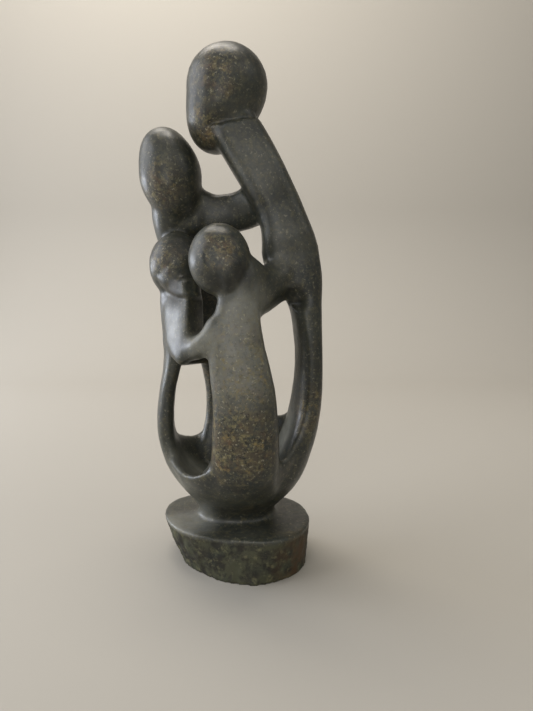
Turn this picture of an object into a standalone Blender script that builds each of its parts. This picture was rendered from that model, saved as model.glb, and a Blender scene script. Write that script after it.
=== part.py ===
"""Carved stone family group: a father, a mother and two children rising as a ring from one foot.

The figures and the base they stand on are one piece of stone. Metres, +Z up, underside at z = 0,
the two children towards -Y and -X, the father at +X and the mother at +Y.
"""

import math

import bmesh
import bpy
import numpy as np
from mathutils import Vector

# Driving dimensions of the whole piece.
TOTAL_HEIGHT = 0.300
BASE_THICKNESS = 0.026
BASE_RIM_CHAMFER = 0.0012

# The figures are free forms. Their points are given in shares of the total height, 300 to the whole.
SHARES = 300.0
SHARE = TOTAL_HEIGHT / SHARES

# How the separate forms are run together into one surface.
GRAIN = 0.0012
FIGURE_PASSES = 5
WHOLE_PASSES = 2
SOFTENING_STRENGTH = 0.5
JOIN_PASSES = 50
FACE_LIMIT = 9600
WELD = 0.00005
SHARP_FROM = math.radians(50)

# Sections and spans of the lofted forms. A limb's flatness is the power of its superellipse section.
LIMB_FLATNESS = 2.8
SECTION_POINTS = 28
SPAN_STEPS = 8
END_STEPS = 4
BLOCK_STEPS = 3
HEAD_SEGMENTS = 40
HEAD_RINGS = 24

# Each row of a limb: centre x, y, z, half width, half thickness, turn of the width axis in degrees,
# and how far the two edges of the width bend towards the ring's middle.
FATHER_LIMB = (
    (13, 4, 36, 15, 9, 90, 4),
    (20.5, 4, 44, 21, 9.5, 90, 6),
    (27.5, 4, 52, 24, 9.5, 91, 5.5),
    (32.5, 4, 60, 24, 9, 93, 5),
    (36.2, 4, 70, 23, 8.4, 95, 4),
    (39.2, 4, 80, 21, 8, 97, 3),
    (41.2, 3, 94, 17.5, 7.4, 101, 1),
    (42.1, 0, 110, 15.5, 6.7, 103, 0),
    (42.2, -1, 126, 14.5, 6.5, 103, 0),
    (41.5, -1, 138, 14.5, 7, 102, 0),
    (40.1, -1, 154, 13.5, 8.8, 99, 0),
    (37, -1, 168, 13, 13, 94, 0),
    (31.6, -1, 183, 12.5, 16.4, 90, 0),
    (29.8, -2, 192, 12.5, 15.4, 90, 0),
    (27.5, -2, 201, 12.5, 13.8, 90, 0),
    (23.8, -2, 211, 12.5, 13.2, 90, 0),
    (18.3, -3, 222, 12.5, 13.2, 90, 0),
    (13.2, -2.5, 231, 12.5, 13.8, 90, 0),
    (6.2, -2, 243, 12, 14, 90, 0),
    (0.6, -2, 252, 12, 13.8, 90, 0),
)
MOTHER_LIMB = (
    (-3, 17, 36, 15, 9, 0, 4),
    (-3.5, 25, 44, 21, 9.5, 0, 6),
    (-4, 31.5, 52, 24, 9.5, 0, 5.5),
    (-4, 36, 60, 24, 9.2, 0, 5),
    (-4, 39, 70, 21.5, 9, 0, 4.5),
    (-4, 41, 82, 19.5, 9, 0, 3.5),
    (-5, 42, 98, 18.5, 9, 0, 3),
    (-8, 41.5, 114, 18, 9.2, 0, 2),
    (-13, 39, 132, 17.5, 10, 5, 1),
    (-20, 35, 150, 17, 11, 10, 0),
    (-27, 29, 170, 15, 11.5, 20, 0),
    (-34, 21, 190, 13.5, 11.5, 30, 0),
    (-38, 13, 208, 12.5, 11.5, 30, 0),
    (-38.5, 9, 224, 10, 10, 30, 0),
)
NEAR_CHILD_LIMB = (
    (0, -4, 36, 15, 9, 0, 4),
    (1, -12.5, 44, 21, 9.5, 0, 6),
    (2.5, -21, 52, 23, 9.8, 0, 5),
    (4.5, -27.2, 60, 20.5, 9.8, 0, 3),
    (6.2, -32.5, 69, 19, 10, 0, 2.5),
    (6.8, -36, 85.7, 18, 10, 0, 3),
    (6.2, -37, 105, 17, 9.6, 0, 2.5),
    (3.8, -36.5, 119.6, 16.2, 9, 0, 1.5),
    (2.2, -36, 130, 15.2, 8.6, 0, 0.5),
    (1.8, -35, 139, 14, 8.4, 0, 0),
    (2.2, -34, 148, 12.4, 8.4, 0, 0),
    (3, -33, 158, 11.2, 8.6, 0, 0),
    (1, -31, 166, 10, 9, 0, 0),
    (-3, -31, 173, 9, 9, 0, 0),
)
FAR_CHILD_LIMB = (
    (-13, 4, 36, 14, 9, 90, 4),
    (-22.5, 4, 44, 18, 8, 90, 6),
    (-31.5, 4, 52, 19, 6, 90, 5),
    (-37.6, 4, 60, 18, 5.2, 92, 3),
    (-41, 4, 68, 16.5, 5.1, 95, 1.5),
    (-43.2, 3, 78, 15, 5.1, 98, 0.5),
    (-43.4, 2, 88, 14.5, 5.1, 100, 0.5),
    (-42.8, 1.5, 96, 14, 4.9, 100, 0.5),
    (-41.4, 1, 106, 13.5, 4.7, 101, 0),
    (-39.4, 0, 115, 13, 4.7, 103, 0),
    (-37.6, -1, 125, 12.5, 5.2, 108, 0),
    (-36.2, -2.5, 135, 12, 6, 115, 0),
    (-35, -4, 147, 11.5, 7, 125, 0),
    (-35, -4, 158, 10, 7.5, 130, 0),
    (-34.5, -1, 168, 8.5, 8.5, 130, 0),
)
FATHER_ARM_LIMB = (
    (34, 0, 171, 8.5, 11, 0, 0),
    (26, -5, 169.3, 9, 11.3, 0, 0),
    (18.5, -12.5, 165.5, 9.2, 12.3, 0, 0),
    (13.5, -19.5, 163, 9.5, 13, 0, 0),
    (9, -25.5, 163.5, 9.5, 17.5, 0, 0),
    (3, -30, 160, 9.5, 13, 0, 0),
)
NEAR_CHILD_ARM = (
    (3, -34, 144.5, 7.5, 11, 90, 0),
    (-5.5, -35, 142.5, 7.5, 9.8, 90, 0),
    (-10.5, -35, 138.8, 7.3, 7.4, 90, 0),
    (-15, -34.6, 135.4, 7, 6, 90, 0),
    (-19, -33.6, 133, 6.4, 6.4, 90, 0),
    (-22, -32, 131.5, 5, 6, 90, 0),
)
FAR_CHILD_ARM = (
    (-29.3, -11.7, 163, 13.5, 6, -51, 0),
    (-29.4, -16.8, 152, 15.9, 6, -52, 0),
    (-28.7, -19.5, 143, 15.6, 6, -52, 0),
    (-27.9, -22.7, 137, 13.5, 5.7, -53, 0),
    (-27.1, -26.4, 131.5, 10.4, 5, -54, 0),
    (-26.5, -29.8, 127.5, 6, 4, -56, 0),
)
MOTHER_ARM_WEB = (
    (-14, 37, 135, 8, 18.5, 0, 0),
    (-29, 26, 134.5, 7.5, 18.5, 0, 0),
    (-37, 12, 135.5, 7, 18, 0, 0),
    (-37, 2, 139, 7, 14, 0, 0),
)
PARENTS_ARMS = (
    (-38, 14, 205, 11, 12, 90, 0),
    (-24, 15, 208.5, 10, 14.5, 90, 0),
    (-14, 14.5, 208, 9, 12, 90, 0),
    (-5, 13, 208.5, 8.5, 11.5, 90, 0),
    (3, 11, 210, 8.5, 11.5, 90, 0),
    (11, 8, 213, 9, 12, 90, 0),
    (20, 4, 215, 9, 14, 90, 0),
)

# Each head: centre, radius across, radius fore and aft, height above and below the widest ring,
# sideways lean of the crown and of the chin.
FATHER_HEAD = ((-4.7, 4, 277.5), 23, 22.5, 22.5, 36.5, (0, 0), (-7, 2))
MOTHER_HEAD = ((-38.6, 9, 230), 18.2, 18.5, 27, 27, (-3.5, 0), (3, 0))
NEAR_CHILD_HEAD = ((-7, -31, 179), 16.4, 16.2, 19, 18.8, (0, 0), (0, 0))
FAR_CHILD_HEAD = ((-34, 0, 177.5), 16.4, 16.2, 19, 18.8, (0, 0), (0, 0))

# The foot and the bowl above it, about a middle of their own: the outer side as height, radius
# across and radius fore and aft, the crest of its rim, the wall lower down, the dish inside it as
# height and radius, and the rim's height towards eight sides from +X round by +Y.
BOWL_MIDDLE = (-1, 4)
BOWL_OUTSIDE = (
    (20, 23, 17.5),
    (26.5, 22.8, 17.3),
    (30, 22.8, 17.8),
    (35, 24.6, 20.5),
    (41, 29, 26),
    (47, 33.5, 32),
    (54, 37.3, 37),
    (60, 40, 40),
    (66, 41.8, 41.8),
    (73, 42.8, 42.8),
    (110, 43, 43),
)
BOWL_CREST = 4.5
BOWL_WALL = 8
BOWL_RIM = (101, 82, 80, 68.5, 76, 60.5, 71, 69.5)
BOWL_STEPS = 14
DISH = ((50, 23), (46.5, 13), (45.5, 3))

# Where one form is led into the next without an edge: a middle and how far round it.
JOINS = (
    ((27, -20, 176), 15),
    ((16, -35, 161), 15),
    ((8, -36, 174), 10),
    ((-24, -34, 131), 9),
)

# Outlines of the block the foot stands on, clockwise from the left, with the left side undercut.
BLOCK_TOP = (
    (-46, 4),
    (-41.5, -8),
    (-34, -18.5),
    (-22, -27),
    (-8, -31),
    (9, -34),
    (22, -34),
    (31, -29.5),
    (39, -19.5),
    (43.5, -7),
    (43.5, 6),
    (39, 21),
    (27, 33),
    (9, 39),
    (-11, 40),
    (-30, 37),
    (-43, 27),
    (-47, 15),
)
BLOCK_UNDERSIDE = (
    (-34, 4),
    (-32, -8),
    (-26, -16),
    (-18, -23),
    (-7, -31),
    (9, -35),
    (20, -32.5),
    (30, -26.5),
    (37, -19),
    (41, -9),
    (41, 5),
    (36.5, 19),
    (25, 30),
    (8, 35),
    (-10, 35),
    (-24, 30),
    (-32, 22),
    (-34.5, 13),
)
# How far up the block, and how far from the lower outline to the upper one.
BLOCK_LEVELS = ((0.3, 0.42), (0.6, 0.75))
UNDERSIDE_SPARE = 0.005
UNDERSIDE_DRAW = 0.1


def clear_scene():
    for obj in list(bpy.data.objects):
        bpy.data.objects.remove(obj, do_unlink=True)
    for mesh in list(bpy.data.meshes):
        bpy.data.meshes.remove(mesh)


def blend(before, start, end, after, t):
    """A smooth value between start and end, at t from 0 to 1."""
    slope_in = (end - before) / 2
    slope_out = (after - start) / 2
    return (
        (2 * t**3 - 3 * t**2 + 1) * start
        + (t**3 - 2 * t**2 + t) * slope_in
        + (3 * t**2 - 2 * t**3) * end
        + (t**3 - t**2) * slope_out
    )


def smooth_rows(rows, steps, closed=False):
    """The rows with smooth ones between them."""
    count = len(rows)
    spans = count if closed else count - 1
    found = []
    for index in range(spans):
        if closed:
            four = [rows[(index + k) % count] for k in (-1, 0, 1, 2)]
        else:
            four = [rows[min(max(index + k, 0), count - 1)] for k in (-1, 0, 1, 2)]
        for step in range(steps):
            found.append([blend(*values, step / steps) for values in zip(*four)])
    if not closed:
        found.append(list(rows[-1]))
    return found


def skin(rings):
    """A closed mesh through rings of equally many points, with both ends capped."""
    shape = bmesh.new()
    loops = [[shape.verts.new(point) for point in ring] for ring in rings]
    count = len(rings[0])
    for lower, upper in zip(loops, loops[1:]):
        for index in range(count):
            following = (index + 1) % count
            shape.faces.new((lower[index], lower[following], upper[following], upper[index]))
    shape.faces.new(list(reversed(loops[0])))
    shape.faces.new(loops[-1])
    bmesh.ops.recalc_face_normals(shape, faces=shape.faces)
    return shape


def flattened(value):
    """A cosine or sine of a round section, changed to that of a section with flatter sides."""
    return math.copysign(abs(value) ** (2 / LIMB_FLATNESS), value)


def limb(rows):
    """A limb along its rows, with rounded ends."""
    stations = smooth_rows(rows, SPAN_STEPS)
    centres = [Vector(row[:3]) * SHARE for row in stations]
    rings = []
    last = len(stations) - 1
    for index, row in enumerate(stations):
        along = centres[min(index + 1, last)] - centres[max(index - 1, 0)]
        along.normalize()
        turn = math.radians(row[5])
        side = Vector((math.cos(turn), math.sin(turn), 0))
        side -= along * side.dot(along)
        side.normalize()
        out = along.cross(side)
        to_middle = -Vector((row[0], row[1], 0)).normalized()
        half_side, half_thick, bow = row[3] * SHARE, row[4] * SHARE, row[6] * SHARE
        ring = []
        for k in range(SECTION_POINTS):
            angle = 2 * math.pi * k / SECTION_POINTS
            across = flattened(math.cos(angle))
            deep = flattened(math.sin(angle))
            point = centres[index] + side * (across * half_side) + out * (deep * half_thick)
            ring.append(point + to_middle * (bow * across**2))
        rings.append(ring)
    first_cap = rounded_end(rings[0], centres[0], centres[0] - centres[1])
    last_cap = rounded_end(rings[-1], centres[-1], centres[-1] - centres[-2])
    return skin(list(reversed(first_cap)) + rings + last_cap)


def rounded_end(ring, centre, outward):
    """Shrinking rings that round off a limb's end."""
    reach = min((point - centre).length for point in ring)
    outward = outward.normalized()
    caps = []
    for step in range(1, END_STEPS + 1):
        angle = math.pi / 2 * step / (END_STEPS + 0.5)
        narrower = math.cos(angle)
        middle = centre + outward * (reach * math.sin(angle))
        caps.append([middle + (point - centre) * narrower for point in ring])
    return caps


def head(centre, across, fore_and_aft, above, below, crown_lean, chin_lean):
    """An egg-shaped head whose crown and chin may lean away from its middle."""
    shape = bmesh.new()
    bmesh.ops.create_uvsphere(shape, u_segments=HEAD_SEGMENTS, v_segments=HEAD_RINGS, radius=1.0)
    for vert in shape.verts:
        level = vert.co.z
        reach, lean = (above, crown_lean) if level > 0 else (below, chin_lean)
        share = level**2 * (3 - 2 * abs(level))
        vert.co = Vector((
            centre[0] + across * vert.co.x + lean[0] * share,
            centre[1] + fore_and_aft * vert.co.y + lean[1] * share,
            centre[2] + reach * level,
        )) * SHARE
    return shape


def bowl():
    """The foot and the bowl on it, with a rim that rises and falls between the figures."""
    rim = [row[0] for row in smooth_rows([(height,) for height in BOWL_RIM], SPAN_STEPS, closed=True)]
    heights, across, deep = zip(*smooth_rows(BOWL_OUTSIDE, SPAN_STEPS))
    bottom, dish_edge = heights[0], DISH[0][0]
    rings = [[] for _ in range(BOWL_STEPS + 3 + len(DISH))]

    def inside(height, depth):
        """The two radii at this height, depth inside the outer side."""
        return [np.interp(height, heights, radii) - depth for radii in (across, deep)]

    for side, top in enumerate(rim):
        angle = 2 * math.pi * side / len(rim)
        shoulder = top - BOWL_CREST / 3
        midway = (top + dish_edge) / 2
        section = [(height, *inside(height, 0)) for height in np.linspace(bottom, shoulder, BOWL_STEPS)]
        section.append((top, *inside(top, BOWL_CREST / 2)))
        section.append((shoulder, *inside(top, BOWL_CREST)))
        section.append((midway, *inside(midway, BOWL_WALL)))
        section.extend((height, radius, radius) for height, radius in DISH)
        for ring, (height, reach_x, reach_y) in zip(rings, section):
            x = BOWL_MIDDLE[0] + reach_x * math.cos(angle)
            y = BOWL_MIDDLE[1] + reach_y * math.sin(angle)
            ring.append(Vector((x, y, height)) * SHARE)
    return skin(rings)


def block():
    """The rough block under the foot, reaching a little below z = 0, where it is cut flat later."""
    top = smooth_rows(BLOCK_TOP, BLOCK_STEPS, closed=True)
    underside = smooth_rows(BLOCK_UNDERSIDE, BLOCK_STEPS, closed=True)
    levels = [(-UNDERSIDE_SPARE, -UNDERSIDE_DRAW, 0.0), (0.0, 0.0, 0.0)]
    levels += [(BASE_THICKNESS * up, share, 0.0) for up, share in BLOCK_LEVELS]
    levels += [(BASE_THICKNESS - BASE_RIM_CHAMFER, 1.0, 0.0), (BASE_THICKNESS, 1.0, BASE_RIM_CHAMFER)]
    rings = []
    for height, share, inset in levels:
        ring = []
        for low, high in zip(underside, top):
            flat = (Vector(low) * (1 - share) + Vector(high) * share) * SHARE
            flat *= 1 - inset / flat.length
            ring.append(Vector((flat.x, flat.y, height)))
        rings.append(ring)
    return skin(rings)


def as_object(name, mesh):
    obj = bpy.data.objects.new(name, mesh)
    bpy.context.scene.collection.objects.link(obj)
    return obj


def worked(name, mesh, modifiers):
    """The mesh as it is after these modifiers, each a type and its settings."""
    obj = as_object(name, mesh)
    for kind, settings in modifiers:
        modifier = obj.modifiers.new(kind.title(), kind)
        for key, value in settings.items():
            setattr(modifier, key, value)
    graph = bpy.context.evaluated_depsgraph_get()
    result = bpy.data.meshes.new_from_object(obj.evaluated_get(graph))
    bpy.data.objects.remove(obj, do_unlink=True)
    return result


def fused(shapes):
    """All the shapes as one closed surface."""
    together = bpy.data.meshes.new("together")
    joined = bmesh.new()
    for shape in shapes:
        part = bpy.data.meshes.new("part")
        shape.to_mesh(part)
        shape.free()
        joined.from_mesh(part)
        bpy.data.meshes.remove(part)
    joined.to_mesh(together)
    joined.free()
    settings = {"mode": "VOXEL", "voxel_size": GRAIN, "adaptivity": 0.0}
    return worked("blank", together, [("REMESH", settings)])


def join_share(point):
    """How much a point is worked over as part of a join, from 0 to 1."""
    found = 0.0
    for middle, reach in JOINS:
        away = (point - Vector(middle) * SHARE).length / (reach * SHARE)
        if away < 1:
            found = max(found, (1 - away**2) ** 2)
    return found


def softened(mesh):
    """The surface with its creases and edges rounded: the block's least, the figures' joins most."""
    settings = {"factor": SOFTENING_STRENGTH, "iterations": WHOLE_PASSES}
    whole = worked("whole", mesh, [("SMOOTH", settings)])
    obj = as_object("figures", whole)
    start = BASE_THICKNESS - GRAIN / 2
    figures = obj.vertex_groups.new(name="figures")
    figures.add([vert.index for vert in whole.vertices if vert.co.z > start], 1.0, "REPLACE")
    joins = obj.vertex_groups.new(name="joins")
    for vert in whole.vertices:
        share = join_share(vert.co)
        if share > 0:
            joins.add([vert.index], share, "REPLACE")
    for group, passes in ((figures, FIGURE_PASSES), (joins, JOIN_PASSES)):
        modifier = obj.modifiers.new(f"Soften {group.name}", "SMOOTH")
        modifier.factor = SOFTENING_STRENGTH
        modifier.iterations = passes
        modifier.vertex_group = group.name
    graph = bpy.context.evaluated_depsgraph_get()
    result = bpy.data.meshes.new_from_object(obj.evaluated_get(graph))
    bpy.data.objects.remove(obj, do_unlink=True)
    return result


def thinned(mesh):
    """The surface with fewer faces, in triangles."""
    count = sum(len(face.vertices) - 2 for face in mesh.polygons)
    share = min(1.0, FACE_LIMIT / count)
    return worked("thinned", mesh, [("DECIMATE", {"ratio": share, "use_collapse_triangulate": True})])


def cut_flat(mesh):
    """Removes all below z = 0 and closes the flat underside."""
    shape = bmesh.new()
    shape.from_mesh(mesh)
    everything = list(shape.verts) + list(shape.edges) + list(shape.faces)
    bmesh.ops.bisect_plane(
        shape, geom=everything, dist=WELD, plane_co=(0, 0, 0), plane_no=(0, 0, 1), clear_inner=True
    )
    rim = [edge for edge in shape.edges if edge.is_boundary]
    for edge in rim:
        for vert in edge.verts:
            vert.co.z = 0.0
    bmesh.ops.remove_doubles(shape, verts=shape.verts, dist=WELD)
    rim = [edge for edge in shape.edges if edge.is_boundary]
    bmesh.ops.holes_fill(shape, edges=rim, sides=0)
    bmesh.ops.recalc_face_normals(shape, faces=shape.faces)
    shape.to_mesh(mesh)
    shape.free()


def stone():
    material = bpy.data.materials.new("polished serpentine")
    material.use_nodes = True
    surface = material.node_tree.nodes["Principled BSDF"]
    surface.inputs["Base Color"].default_value = (0.035, 0.035, 0.028, 1.0)
    surface.inputs["Roughness"].default_value = 0.35
    return material


def main():
    clear_scene()
    limbs = (
        FATHER_LIMB,
        MOTHER_LIMB,
        NEAR_CHILD_LIMB,
        FAR_CHILD_LIMB,
        FATHER_ARM_LIMB,
        NEAR_CHILD_ARM,
        FAR_CHILD_ARM,
        MOTHER_ARM_WEB,
        PARENTS_ARMS,
    )
    shapes = [limb(rows) for rows in limbs]
    shapes += [head(*form) for form in (FATHER_HEAD, MOTHER_HEAD, NEAR_CHILD_HEAD, FAR_CHILD_HEAD)]
    shapes += [bowl(), block()]
    mesh = thinned(softened(fused(shapes)))
    cut_flat(mesh)
    mesh.name = "family_group"
    mesh.materials.clear()
    mesh.materials.append(stone())
    mesh.shade_smooth()
    mesh.set_sharp_from_angle(angle=SHARP_FROM)
    as_object("family_group", mesh)
    heights = [vert.co.z for vert in mesh.vertices]
    print(f"family_group {len(mesh.polygons)} faces, {min(heights):.4f} to {max(heights):.4f} m high")


main()
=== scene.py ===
import math

import bmesh
import bpy
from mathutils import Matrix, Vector, noise


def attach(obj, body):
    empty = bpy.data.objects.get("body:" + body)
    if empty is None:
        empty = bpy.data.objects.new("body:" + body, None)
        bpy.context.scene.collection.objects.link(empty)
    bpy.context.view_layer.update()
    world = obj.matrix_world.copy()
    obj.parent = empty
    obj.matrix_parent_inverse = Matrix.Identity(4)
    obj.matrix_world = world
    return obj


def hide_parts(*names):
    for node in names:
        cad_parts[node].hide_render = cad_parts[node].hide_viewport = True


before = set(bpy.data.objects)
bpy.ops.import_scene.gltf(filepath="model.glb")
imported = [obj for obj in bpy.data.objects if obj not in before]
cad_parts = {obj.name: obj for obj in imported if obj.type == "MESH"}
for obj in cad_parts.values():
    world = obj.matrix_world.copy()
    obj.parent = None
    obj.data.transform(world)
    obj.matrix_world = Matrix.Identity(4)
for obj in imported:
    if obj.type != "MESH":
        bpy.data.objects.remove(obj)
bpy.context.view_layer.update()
print("frame loaded")


def srgb(hexValue):
    # hex colour as seen on a screen, turned to linear light
    parts = [int(hexValue[i:i + 2], 16) / 255 for i in (1, 3, 5)]
    return tuple(p / 12.92 if p <= 0.04045 else ((p + 0.055) / 1.055) ** 2.4 for p in parts) + (1.0,)


def easeStep(low, high, value):
    # from 0 at low to 1 at high, without corners
    t = min(max((value - low) / (high - low), 0.0), 1.0)
    return t * t * (3 - 2 * t)


def addNode(tree, kind, settings=None, links=None):
    # one shader node: settings are its attributes or input values, and links are what its inputs take,
    # either another node's output or a plain value
    node = tree.nodes.new(kind)
    for key, value in (settings or {}).items():
        if key in node.inputs:
            node.inputs[key].default_value = value
        else:
            setattr(node, key, value)
    for key, source in (links or {}).items():
        if isinstance(source, bpy.types.NodeSocket):
            tree.links.new(source, node.inputs[key])
        else:
            node.inputs[key].default_value = source
    return node


cameraSettings = {
    "place": (0.0175, -0.314, 0.1634),  # a phone held close, a little right of the middle
    "focalPixels": 534.0,
    "pictureHeight": 711.0,
    "middleRow": 355.5,
    "horizonRow": 290.0,
    "sensor": 36.0,
    "near": 0.01,
    "far": 20.0,
}


def makeCamera(settings):
    data = bpy.data.cameras.new("camera")
    data.sensor_width = settings["sensor"]
    data.lens = settings["focalPixels"] / settings["pictureHeight"] * settings["sensor"]
    data.clip_start = settings["near"]
    data.clip_end = settings["far"]
    pitchDown = math.atan((settings["middleRow"] - settings["horizonRow"]) / settings["focalPixels"])
    camera = bpy.data.objects.new("camera", data)
    camera.location = settings["place"]
    camera.rotation_euler = (math.pi / 2 - pitchDown, 0.0, 0.0)
    bpy.context.scene.collection.objects.link(camera)
    bpy.context.scene.camera = camera


makeCamera(cameraSettings)
print("camera made")


# the carved group: lengths in metres
groupSettings = {
    "node": "family_group",
    "body": "root",
    "grain": 0.0012,  # edge of the fine mesh
    "easeFrom": -0.0450,  # y past which the front is eased back
    "easeDepth": 0.0021,
    "smoothPasses": 22,
    "smoothIn": 0.5,
    "smoothOut": -0.51,
    # where one form is led into the next: a middle, how far it reaches and how strongly it is worked
    "joins": (
        ((0.0225, -0.024, 0.180), 0.017, 1.0),
        ((0.016, -0.034, 0.163), 0.014, 1.0),
        ((0.0155, -0.033, 0.175), 0.008, 1.0),
        ((0.0365, -0.013, 0.158), 0.008, 1.0),
        ((-0.0245, -0.034, 0.136), 0.009, 0.3),
        ((-0.033, -0.019, 0.1685), 0.007, 0.4),
    ),
    "joinCore": 0.3,  # share of its reach that is worked in full
    "joinPasses": 120,
    # where the foot spreads into the base's top
    "footJoin": {"height": 0.0285, "reach": 0.006, "radius": 0.032, "most": 0.5},
    "flatUnder": 0.0012,  # height up to which the underside stays as it is
}


def mergedCopy(node, name):
    # the CAD mesh is loose triangles, so a copy of it is merged
    shape = bmesh.new()
    shape.from_mesh(bpy.data.objects[node].data)
    bmesh.ops.remove_doubles(shape, verts=shape.verts, dist=0.00001)
    bmesh.ops.recalc_face_normals(shape, faces=shape.faces)
    mesh = bpy.data.meshes.new(name)
    shape.to_mesh(mesh)
    shape.free()
    obj = bpy.data.objects.new(name, mesh)
    bpy.context.scene.collection.objects.link(obj)
    return obj


def applyAll(obj):
    # the mesh as its modifiers leave it
    graph = bpy.context.evaluated_depsgraph_get()
    mesh = bpy.data.meshes.new_from_object(obj.evaluated_get(graph))
    obj.modifiers.clear()
    old = obj.data
    obj.data = mesh
    bpy.data.meshes.remove(old)
    mesh.name = obj.name


def makeFine(obj, settings):
    # an even fine mesh
    remesh = obj.modifiers.new("fine mesh", "REMESH")
    remesh.mode = "VOXEL"
    remesh.voxel_size = settings["grain"]
    applyAll(obj)


# the father's chest ends in a crisp edge, and his chin is cut back behind it
chinSettings = {
    "edge": ((-0.0125, -0.011, 0.2528), (0.0022, -0.0136, 0.2546), (0.012, -0.0099, 0.2566)),
    "front": -0.004,  # only what lies before this y
    "depth": 0.0032,
    "power": 1.5,
    "reach": 0.009,
    "ends": 0.003,
}


def undercutChin(obj, settings):
    left, middle, right = (Vector(point) for point in settings["edge"])
    ends = settings["ends"]
    for v in obj.data.vertices:
        if v.co.y > settings["front"] or not left.x - ends < v.co.x < right.x + ends:
            continue
        start, end = (left, middle) if v.co.x < middle.x else (middle, right)
        edgeHeight = start.z + (end.z - start.z) * (v.co.x - start.x) / (end.x - start.x)
        above = v.co.z - edgeHeight
        if not 0.0 < above < settings["reach"]:
            continue
        fade = easeStep(left.x - ends, left.x, v.co.x) * (1.0 - easeStep(right.x, right.x + ends, v.co.x))
        v.co.y += settings["depth"] * fade * (1.0 - above / settings["reach"]) ** settings["power"]
    obj.data.update()


# an arm's front face ends in an edge, and the stone below it slants back: x, front y and z along each edge
armSettings = {
    "father's arm": {
        "edge": (
            (0.0135, -0.0320, 0.1530), (0.0194, -0.0274, 0.1576), (0.0249, -0.0179, 0.1612),
            (0.0306, -0.0140, 0.1651), (0.0345, -0.0140, 0.1664), (0.0410, -0.0141, 0.1655),
        ),
        "slope": 1.1,
        "power": 1.0,
        "front": 0.02,
        "reach": 0.011,
        "thickness": 0.014,
        "ends": (0.004, 0.010),
    },
    "near child's forearm": {
        "edge": (
            (-0.0290, -0.0320, 0.1250), (-0.0251, -0.0338, 0.1266), (-0.0214, -0.0371, 0.1287),
            (-0.0184, -0.0398, 0.1305), (-0.0162, -0.0407, 0.1317), (-0.0144, -0.0388, 0.1294),
            (-0.0128, -0.0370, 0.1262),
        ),
        "slope": 1.2,
        "power": 1.0,
        "front": 0.02,
        "reach": 0.008,
        "thickness": 0.010,
        "ends": (0.002, 0.002),
    },
    "parents' arms": {
        "edge": (
            (-0.0220, -0.0060, 0.2180), (-0.0100, -0.0060, 0.2140),
            (0.0040, -0.0060, 0.2140), (0.0130, -0.0060, 0.2150),
        ),
        "slope": 0.55,
        "power": 1.7,
        "front": 0.009,
        "reach": 0.024,
        "thickness": 0.014,
        "ends": (0.004, 0.004),
    },
}


def slantUnder(obj, settings):
    edge = settings["edge"]
    leftEnd, rightEnd = settings["ends"]
    for v in obj.data.vertices:
        if not edge[0][0] < v.co.x < edge[-1][0]:
            continue
        start, end = [pair for pair in zip(edge, edge[1:]) if pair[0][0] <= v.co.x][-1]
        along = (v.co.x - start[0]) / (end[0] - start[0])
        below = start[2] + (end[2] - start[2]) * along - v.co.z
        inward = v.co.y - start[1] - (end[1] - start[1]) * along
        if not 0.0 < below < settings["reach"] or not -settings["front"] < inward < settings["thickness"]:
            continue
        fade = easeStep(0.0, leftEnd, v.co.x - edge[0][0]) * easeStep(0.0, rightEnd, edge[-1][0] - v.co.x)
        shift = settings["slope"] * settings["reach"] * (below / settings["reach"]) ** settings["power"]
        v.co.y += shift * fade * (1.0 - max(inward, 0.0) / settings["thickness"])
    obj.data.update()


# the far child's arm is a flat face with a crisp right edge, and the stone beyond the edge turns back
besideSettings = {
    "edge": -0.0247,
    "front": -0.029,
    "before": 0.006,  # how far in front of the face still counts
    "heights": (0.136, 0.141, 0.158, 0.161),  # fades in over the first two, out over the last two
    "slope": 1.5,
    "reach": 0.009,
    "thickness": 0.014,
}


def turnBeside(obj, settings):
    low, full, high, top = settings["heights"]
    for v in obj.data.vertices:
        beside = v.co.x - settings["edge"]
        inward = v.co.y - settings["front"]
        if not low < v.co.z < top or not 0.0 < beside < settings["reach"]:
            continue
        if not -settings["before"] < inward < settings["thickness"]:
            continue
        fade = easeStep(low, full, v.co.z) * (1.0 - easeStep(high, top, v.co.z))
        v.co.y += settings["slope"] * beside * fade * (1.0 - max(inward, 0.0) / settings["thickness"])
    obj.data.update()


# a head ends in a crisp line where it overlaps an arm or a shoulder: x and z along the line, a point inside,
# and how far in from the line the swelling is full and gone. The ends fade over so many of the line's spans.
headSettings = {
    "far child's head": {
        "line": (
            (-0.0450, 0.1710), (-0.0435, 0.1690), (-0.0410, 0.1651), (-0.0365, 0.1617),
            (-0.0307, 0.1596), (-0.0256, 0.1592), (-0.0215, 0.1600),
        ),
        "inside": (-0.034, 0.1775),
        "widest": 0.03,
        "front": (-0.040, -0.007),
        "backFade": 0.003,
        "push": (-0.0010, -0.0042, 0.0),
        "rise": 0.0080,
        "flat": 0.009,
        "reach": 0.015,
        "ends": (2.5, 0.8),
        "sink": 0.0006,
        "sinkReach": 0.004,
    },
    "near child's head": {
        "line": (
            (0.0090, 0.1803), (0.0081, 0.1760), (0.0061, 0.1725), (0.0041, 0.1684),
            (0.0020, 0.1649), (-0.0005, 0.1624), (-0.0026, 0.1614), (-0.0068, 0.1614),
        ),
        "inside": (-0.007, 0.179),
        "widest": 0.03,
        "front": (-0.060, -0.030),
        "backFade": 0.003,
        "push": (0.0, -0.0030, 0.0),
        "rise": 0.0060,
        "flat": 0.006,
        "reach": 0.014,
        "ends": (1.5, 1.5),
        "sink": 0.0010,
        "sinkReach": 0.006,
    },
}


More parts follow.
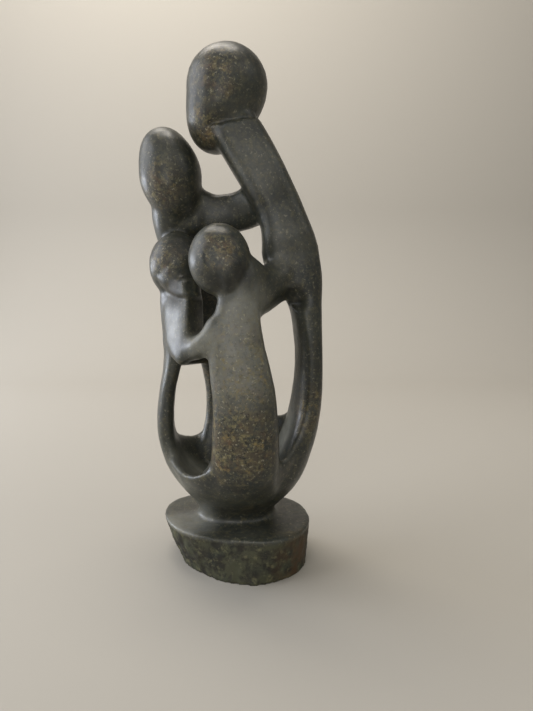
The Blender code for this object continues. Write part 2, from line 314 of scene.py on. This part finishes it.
def swellHead(obj, settings):
    line = [Vector(point) for point in settings["line"]]
    last = len(line) - 1
    inside = Vector(settings["inside"])
    push = Vector(settings["push"])
    front, back = settings["front"]
    for v in obj.data.vertices:
        here = Vector((v.co.x, v.co.z))
        if not front < v.co.y < back or (here - inside).length > settings["widest"]:
            continue
        spots = []
        for index, (start, end) in enumerate(zip(line, line[1:])):
            span = end - start
            share = min(max((here - start).dot(span) / span.length_squared, 0.0), 1.0)
            turn = span.cross(here - start) * span.cross(inside - start)
            spots.append(((here - start.lerp(end, share)).length, index + share, turn > 0.0))
        away, along, within = min(spots)
        fade = easeStep(0.0, settings["ends"][0], along) * easeStep(0.0, settings["ends"][1], last - along)
        fade *= easeStep(0.0, settings["backFade"], back - v.co.y)
        if within and away < settings["reach"]:
            rise = min(away / settings["rise"], 1.0)
            fall = 1.0 - easeStep(settings["flat"], settings["reach"], away)
            v.co += push * fade * math.sqrt(rise * (2.0 - rise)) * fall
        elif not within and away < settings["sinkReach"]:
            v.co.y += settings["sink"] * fade * (1.0 - away / settings["sinkReach"]) ** 2
    obj.data.update()


def holdFront(obj, settings):
    # what was swollen past the front of the block is eased back into it
    start = settings["easeFrom"]
    depth = settings["easeDepth"]
    for v in obj.data.vertices:
        past = start - v.co.y
        if past > 0.0:
            v.co.y = start - depth * (1.0 - math.exp(-past / depth))
    obj.data.update()


def sandGroup(obj, settings):
    # facets smoothed away with the forms kept; where one form is led into the next, worked over far more
    flat = settings["flatUnder"]
    foot = settings["footJoin"]
    core = settings["joinCore"]
    above = obj.vertex_groups.new(name="above")
    above.add([v.index for v in obj.data.vertices if v.co.z > flat], 1.0, "REPLACE")
    joins = obj.vertex_groups.new(name="joins")
    for v in obj.data.vertices:
        share = 0.0
        for middle, reach, most in settings["joins"]:
            share = max(share, most * (1.0 - easeStep(core, 1.0, (v.co - Vector(middle)).length / reach)))
        if math.hypot(v.co.x, v.co.y) < foot["radius"]:
            away = abs(v.co.z - foot["height"]) / foot["reach"]
            share = max(share, foot["most"] * (1.0 - easeStep(core, 1.0, away)))
        if share > 0.0:
            joins.add([v.index], share, "REPLACE")
    passes = (
        ("joins", "joins", settings["smoothIn"], settings["joinPasses"]),
        ("smooth in", "above", settings["smoothIn"], settings["smoothPasses"]),
        ("smooth out", "above", settings["smoothOut"], settings["smoothPasses"]),
    )
    for name, where, factor, count in passes:
        smooth = obj.modifiers.new(name, "SMOOTH")
        smooth.factor = factor
        smooth.iterations = count
        smooth.vertex_group = where
    applyAll(obj)
    obj.vertex_groups.clear()
    for v in obj.data.vertices:
        if v.co.z < flat * 0.5:
            v.co.z = 0.0
    print("group sanded,", len(obj.data.polygons), "faces")


# where the brown mineral lies thickest: a middle, how far it reaches and how strong it is
warmPatches = (
    ((-0.002, -0.045, 0.085), 0.034, 1.0),
    ((0.004, -0.046, 0.118), 0.028, 0.75),
    ((0.007, -0.046, 0.138), 0.024, 0.6),
    ((-0.030, -0.016, 0.163), 0.010, 0.7),
    ((-0.010, -0.017, 0.279), 0.020, 0.7),
    ((-0.019, -0.007, 0.252), 0.016, 0.8),
    ((-0.006, -0.047, 0.183), 0.014, 0.9),
    ((-0.038, -0.015, 0.182), 0.017, 0.6),
    ((-0.044, -0.007, 0.222), 0.020, 0.6),
    ((0.042, -0.014, 0.095), 0.020, 0.6),
    ((0.030, 0.020, 0.120), 0.030, 0.5),
    ((-0.030, 0.045, 0.100), 0.034, 0.8),
    ((-0.010, 0.022, 0.285), 0.018, 0.6),
    ((0.038, -0.024, 0.010), 0.024, 1.0),
    ((-0.030, -0.034, 0.024), 0.014, 0.5),
)

# where a pale grey sheen is painted into the ground colour: painted highlights and reflections on parts that
# are lit or face bright surroundings, such as the near child's chest, the far child's arm, the father's
# torso, the base's top and the bowl's inside
paintedSheenPatches = (
    ((0.008, -0.040, 0.151), 0.025, 0.85),
    ((0.003, -0.045, 0.124), 0.032, 0.75),
    ((-0.014, -0.038, 0.138), 0.016, 1.0),
    ((-0.029, -0.020, 0.142), 0.014, 0.7),
    ((0.012, -0.016, 0.232), 0.022, 0.25),
    ((0.030, -0.014, 0.190), 0.022, 0.25),
    ((-0.032, -0.012, 0.026), 0.026, 0.9),
    ((0.030, 0.010, 0.150), 0.030, 0.3),
    ((-0.024, -0.006, 0.060), 0.026, 1.0),
    ((0.028, 0.008, 0.076), 0.022, 1.0),
)

# where shade is painted under the children's heads: the ground darkened nearly to black, and the polish made
# duller
paintedShadeAndDullPatches = (
    ((-0.034, -0.021, 0.162), 0.011, 1.0),
    ((-0.030, -0.012, 0.190), 0.012, 0.7),
    ((-0.004, -0.046, 0.166), 0.013, 1.0),
    ((0.006, -0.044, 0.171), 0.012, 1.0),
)

patchCore = 0.25  # share of its reach over which a patch is at its full strength


def markPatches(obj, name, patches):
    mesh = obj.data
    marks = mesh.attributes.new(name, "FLOAT", "POINT")
    for v in mesh.vertices:
        strongest = 0.0
        for middle, reach, strength in patches:
            away = (v.co - Vector(middle)).length / reach
            strongest = max(strongest, strength * (1.0 - easeStep(patchCore, 1.0, away)))
        marks.data[v.index].value = strongest


# the block's sides as they were cut, with the marks of a saw and a point
roughSettings = {
    "baseTop": 0.026,
    "topFade": (0.004, 0.001),  # below the top, from here to there
    "sideways": (0.35, 0.75),  # how far a face turns from level before it counts as a side
    "rim": 0.003,  # height over which the marks start, so that the base stands flat
    "depth": 0.0007,
    "cell": 0.0065,  # size of one chipped place
    "cellShare": 0.9,
    "fineShare": 0.45,
    "evenShare": 0.25,
    "fineScale": 2.2,
    "fineDrop": 0.8,
    "fineStep": 2.1,
    "fineLayers": 4,
}


def roughenBase(obj, settings):
    # sinks the marks, and leaves an attribute that says where they are
    mesh = obj.data
    rough = mesh.attributes.new("roughCut", "FLOAT", "POINT")
    fadeStart, fadeEnd = (settings["baseTop"] - below for below in settings["topFade"])
    normals = [v.normal.copy() for v in mesh.vertices]
    for v, normal in zip(mesh.vertices, normals):
        sideways = easeStep(*settings["sideways"], math.hypot(normal.x, normal.y))
        amount = sideways * (1.0 - easeStep(fadeStart, fadeEnd, v.co.z))
        rough.data[v.index].value = amount
        if amount <= 0.0:
            continue
        place = v.co / settings["cell"]
        cells = settings["cellShare"] * (1.0 - noise.voronoi(place)[0][0])
        fine = noise.fractal(
            place * settings["fineScale"], settings["fineDrop"], settings["fineStep"], settings["fineLayers"],
        )
        depth = settings["depth"] * amount * (cells + settings["fineShare"] * fine + settings["evenShare"])
        v.co -= normal * depth * easeStep(0.0, settings["rim"], v.co.z)
    mesh.update()


groupPiece = mergedCopy(groupSettings["node"], "carvedGroup")
makeFine(groupPiece, groupSettings)
undercutChin(groupPiece, chinSettings)
for arm in armSettings.values():
    slantUnder(groupPiece, arm)
turnBeside(groupPiece, besideSettings)
for head in headSettings.values():
    swellHead(groupPiece, head)
holdFront(groupPiece, groupSettings)
sandGroup(groupPiece, groupSettings)
markPatches(groupPiece, "warmth", warmPatches)
markPatches(groupPiece, "haze", paintedSheenPatches)
markPatches(groupPiece, "grime", paintedShadeAndDullPatches)
roughenBase(groupPiece, roughSettings)
groupPiece.data.shade_smooth()


# serpentine, shaped by file, wet-sanded and waxed: dark grey-green ground, a soft waxy gloss
stoneSettings = {
    "ground": "#363a35",
    "groundDark": "#222725",
    "groundWarm": "#484031",
    "rust": "#644a31",
    # pale grey of the painted sheen, which stands in for lit and reflecting places
    "haze": "#7c7d76",
    "olive": "#7b7350",
    "pale": "#a59f87",
    "ochre": "#8b7845",
    "dark": "#151714",
    "cut": "#414431",
    "cutDark": "#1c1e17",
    "cutPale": "#68664a",
    "cutBrown": "#4a3418",
    # how far the painted shade under the heads darkens the ground
    "paintedShadeShare": 0.75,
    "waxRoughness": (0.34, 0.45),
    "dullRoughness": 0.6,
    "cutRoughness": 0.72,
    "pitDepth": 0.0001,
    "pitStrength": 0.12,
    "ior": 1.56,
}


def makeStone(settings):
    material = bpy.data.materials.new("serpentine, sanded and waxed")
    material.use_nodes = True
    tree = material.node_tree
    shader = tree.nodes["Principled BSDF"]
    place = addNode(tree, "ShaderNodeTexCoord").outputs["Object"]
    toMillimetres = {"Scale": (1000.0, 1000.0, 1000.0)}
    millimetres = addNode(tree, "ShaderNodeMapping", toMillimetres, {"Vector": place}).outputs[0]
    warmth, haze, grime, roughCut = (
        addNode(tree, "ShaderNodeAttribute", {"attribute_name": name}).outputs["Fac"]
        for name in ("warmth", "haze", "grime", "roughCut")
    )

    def between(value, least, most, start=0.0, end=1.0):
        # least where the value is at its start, most at its end
        limits = {"From Min": start, "From Max": end, "To Min": least, "To Max": most}
        return addNode(tree, "ShaderNodeMapRange", None, {"Value": value, **limits}).outputs[0]

    def cloud(size, detail, rough, shift, distortion=0.0):
        # soft noise whose blotches are about size millimetres across
        source = addNode(
            tree, "ShaderNodeMapping", {"Location": (shift, shift * 0.7, -shift)}, {"Vector": millimetres},
        ).outputs[0]
        pattern = {"Scale": 1.0 / size, "Detail": detail, "Roughness": rough, "Distortion": distortion}
        return addNode(tree, "ShaderNodeTexNoise", pattern, {"Vector": source}).outputs["Fac"]

    def layUp(color, layers):
        # minerals laid over a colour, one after another, each by its share at that place
        for name, share in layers:
            colors = {0: share, 6: color, 7: srgb(settings[name])}
            color = addNode(tree, "ShaderNodeMix", {"data_type": "RGBA"}, colors).outputs[2]
        return color

    # the ground: broad clouds, 14 to 22 mm across, browner in places, and more so where the stone is warm
    clouds = between(cloud(22.0, 3.0, 0.55, 0.0), 0.0, 1.0, 0.4, 0.6)
    brown = between(cloud(9.0, 4.0, 0.6, 40.0), 0.0, between(warmth, 0.12, 1.0), 0.42, 0.6)
    rust = between(cloud(6.0, 5.0, 0.65, 29.0), 0.0, between(warmth, 0.027, 0.675), 0.52, 0.66)
    # painted sheen: a pale grey laid over the ground where the sheen patches say, standing in for light and
    # reflection
    paintedSheenShare = between(haze, 0.0, between(cloud(7.0, 5.0, 0.6, 64.0), 0.55, 0.95, 0.3, 0.6))
    # olive grains, 1 to 1.5 mm, unevenly spread, and pale ones of 0.8 mm
    uneven = between(
        cloud(7.0, 4.0, 0.65, 52.0), between(warmth, 0.064, 0.2), between(warmth, 0.32, 1.0), 0.38, 0.62,
    )
    olive = between(cloud(2.4, 5.0, 0.72, 11.0), 0.0, uneven, 0.47, 0.61)
    pale = between(cloud(1.5, 3.0, 0.6, 5.0), 0.0, between(warmth, 0.3, 0.75), 0.6, 0.68)
    # ochre flecks, 1.5 mm, in clusters
    clusters = between(cloud(10.0, 3.0, 0.6, 77.0), 0.0, between(warmth, 0.05, 0.85), 0.48, 0.6)
    ochre = between(cloud(2.6, 4.0, 0.65, 62.0), 0.0, clusters, 0.53, 0.62)
    # dark grains, 1 to 2 mm, fewer where the pale sheen is painted
    thinned = between(haze, between(warmth, 0.3, 1.0), between(warmth, 0.09, 0.3), 0.0, 0.9)
    dark = between(cloud(2.2, 5.0, 0.7, 23.0), thinned, 0.0, 0.38, 0.48)
    polished = layUp(srgb(settings["groundDark"]), (
        ("ground", clouds),
        ("groundWarm", brown),
        ("rust", rust),
        ("haze", paintedSheenShare),
        ("olive", olive),
        ("pale", pale),
        ("ochre", ochre),
        ("dark", dark),
        # painted shade: the ground darkened nearly to black under the children's heads
        ("dark", between(grime, 0.0, settings["paintedShadeShare"])),
    ))

    # the cut sides: unpolished, so duller and greener, with broad blotches and stains
    blotches = between(cloud(8.0, 6.0, 0.68, 3.0, 0.3), 0.0, 1.0, 0.43, 0.57)
    paleBlotches = between(cloud(4.0, 5.0, 0.68, 31.0), 0.0, 0.85, 0.54, 0.66)
    stains = between(cloud(9.0, 4.0, 0.6, 60.0), 0.0, between(warmth, 0.09, 0.9), 0.36, 0.56)
    cutStone = layUp(srgb(settings["cutDark"]), (
        ("cut", blotches),
        ("cutPale", paleBlotches),
        ("cutBrown", stains),
    ))
    colors = {0: roughCut, 6: polished, 7: cutStone}
    stone = addNode(tree, "ShaderNodeMix", {"data_type": "RGBA"}, colors).outputs[2]
    tree.links.new(stone, shader.inputs["Base Color"])

    wax = between(cloud(5.0, 4.0, 0.6, 90.0), *settings["waxRoughness"], 0.35, 0.7)
    wax = between(grime, wax, settings["dullRoughness"])
    tree.links.new(between(roughCut, wax, settings["cutRoughness"]), shader.inputs["Roughness"])
    # pits left between the grains, under 0.1 mm deep
    bump = {"Strength": settings["pitStrength"], "Distance": settings["pitDepth"]}
    pits = addNode(tree, "ShaderNodeBump", bump, {"Height": cloud(0.7, 3.0, 0.6, 15.0)})
    tree.links.new(pits.outputs["Normal"], shader.inputs["Normal"])
    shader.inputs["IOR"].default_value = settings["ior"]
    return material


groupPiece.data.materials.clear()
groupPiece.data.materials.append(makeStone(stoneSettings))
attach(groupPiece, groupSettings["body"])
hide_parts(groupSettings["node"])
print("group dressed")


# floor, backdrop and light
studioSettings = {
    "sweep": "#b0aca4",
    "sweepRoughness": 0.85,
    "sweepWidth": 5.0,
    "back": 0.95,
    "bend": 0.35,
    "top": 2.2,
    "bendSteps": 16,
    "world": "#e9e6df",
    "worldStrength": 0.25,
}


def makeSweep(settings):
    # one pale sheet: the floor, and a wall that it bends up into
    width = settings["sweepWidth"]
    bend = settings["bend"]
    floorEnd = settings["back"] - bend
    shape = bmesh.new()
    bmesh.ops.create_grid(shape, x_segments=1, y_segments=1, size=width / 2)
    bmesh.ops.translate(shape, verts=shape.verts, vec=(0.0, floorEnd - width / 2, 0.0))
    farEdge = [e for e in shape.edges if min(v.co.y for v in e.verts) > floorEnd - 0.001]
    bent = bmesh.ops.spin(
        shape, geom=farEdge, cent=(0.0, floorEnd, bend), axis=(1.0, 0.0, 0.0),
        dvec=(0.0, 0.0, 0.0), angle=math.pi / 2, steps=settings["bendSteps"], use_duplicate=False,
    )
    lastEdge = [e for e in bent["geom_last"] if isinstance(e, bmesh.types.BMEdge)]
    raised = bmesh.ops.extrude_edge_only(shape, edges=lastEdge)
    risen = [v for v in raised["geom"] if isinstance(v, bmesh.types.BMVert)]
    bmesh.ops.translate(shape, verts=risen, vec=(0.0, 0.0, settings["top"] - bend))
    bmesh.ops.recalc_face_normals(shape, faces=shape.faces)
    mesh = bpy.data.meshes.new("sweep")
    shape.to_mesh(mesh)
    shape.free()
    mesh.shade_smooth()
    material = bpy.data.materials.new("pale matt paper")
    material.use_nodes = True
    shader = material.node_tree.nodes["Principled BSDF"]
    shader.inputs["Base Color"].default_value = srgb(settings["sweep"])
    shader.inputs["Roughness"].default_value = settings["sweepRoughness"]
    mesh.materials.append(material)
    sweep = bpy.data.objects.new("sweep", mesh)
    bpy.context.scene.collection.objects.link(sweep)


# soft lights, named for what they stand in for: sizes are width and height in metres, powers are watts
lightSettings = {
    "window": {
        "place": (-0.94, 0.32, 0.20), "aim": (0.0, 0.0, 0.19),
        "size": (0.52, 0.24), "power": 3.3, "color": "#eef4ff",
    },
    "wall by the window": {
        "place": (-1.03, 0.0, 0.74), "aim": (0.0, 0.0, 0.17),
        "size": (1.3, 0.75), "power": 8.0, "color": "#f6f8ff",
    },
    "pale card on the left": {
        "place": (-0.556, -0.225, 0.19), "aim": (0.0, -0.03, 0.17),
        "size": (0.24, 0.25), "power": 0.4, "color": "#f8f8f8",
    },
    "pale card by the camera": {
        "place": (-0.125, -0.52, 0.20), "aim": (0.005, -0.04, 0.15),
        "size": (0.22, 0.14), "power": 0.24, "color": "#fffdf8",
    },
    "room behind the camera": {
        "place": (-0.1, -1.3, 0.88), "aim": (0.0, 0.0, 0.17),
        "size": (1.4, 1.3), "power": 4.4, "color": "#fffdf8",
    },
    "wall on the right": {
        "place": (0.9, -0.55, 0.95), "aim": (0.0, 0.0, 0.17),
        "size": (1.0, 0.7), "power": 1.6, "color": "#fffdf8",
    },
    "ceiling": {
        "place": (0.0, -0.1, 1.5), "aim": (0.0, 0.0, 0.0),
        "size": (1.2, 1.0), "power": 1.2, "color": "#fff8ee",
    },
    "wall light": {
        "place": (-0.2, 0.35, 1.3), "aim": (0.2, 0.95, 0.35),
        "size": (1.0, 0.5), "power": 12.0, "color": "#fff8ee",
    },
}


def makeLight(name, settings):
    place = Vector(settings["place"])
    data = bpy.data.lights.new(name, "AREA")
    data.shape = "RECTANGLE"
    data.size, data.size_y = settings["size"]
    data.energy = settings["power"]
    data.color = srgb(settings["color"])[:3]
    lamp = bpy.data.objects.new(name, data)
    lamp.location = place
    lamp.rotation_euler = (Vector(settings["aim"]) - place).to_track_quat("-Z", "Y").to_euler()
    bpy.context.scene.collection.objects.link(lamp)


def makeWorld(settings):
    world = bpy.data.worlds.new("studio")
    bpy.context.scene.world = world
    world.use_nodes = True
    background = world.node_tree.nodes["Background"]
    background.inputs["Color"].default_value = srgb(settings["world"])
    background.inputs["Strength"].default_value = settings["worldStrength"]


makeSweep(studioSettings)
for name, light in lightSettings.items():
    makeLight(name, light)
makeWorld(studioSettings)
bpy.context.scene.view_settings.view_transform = "Standard"
print("studio made")
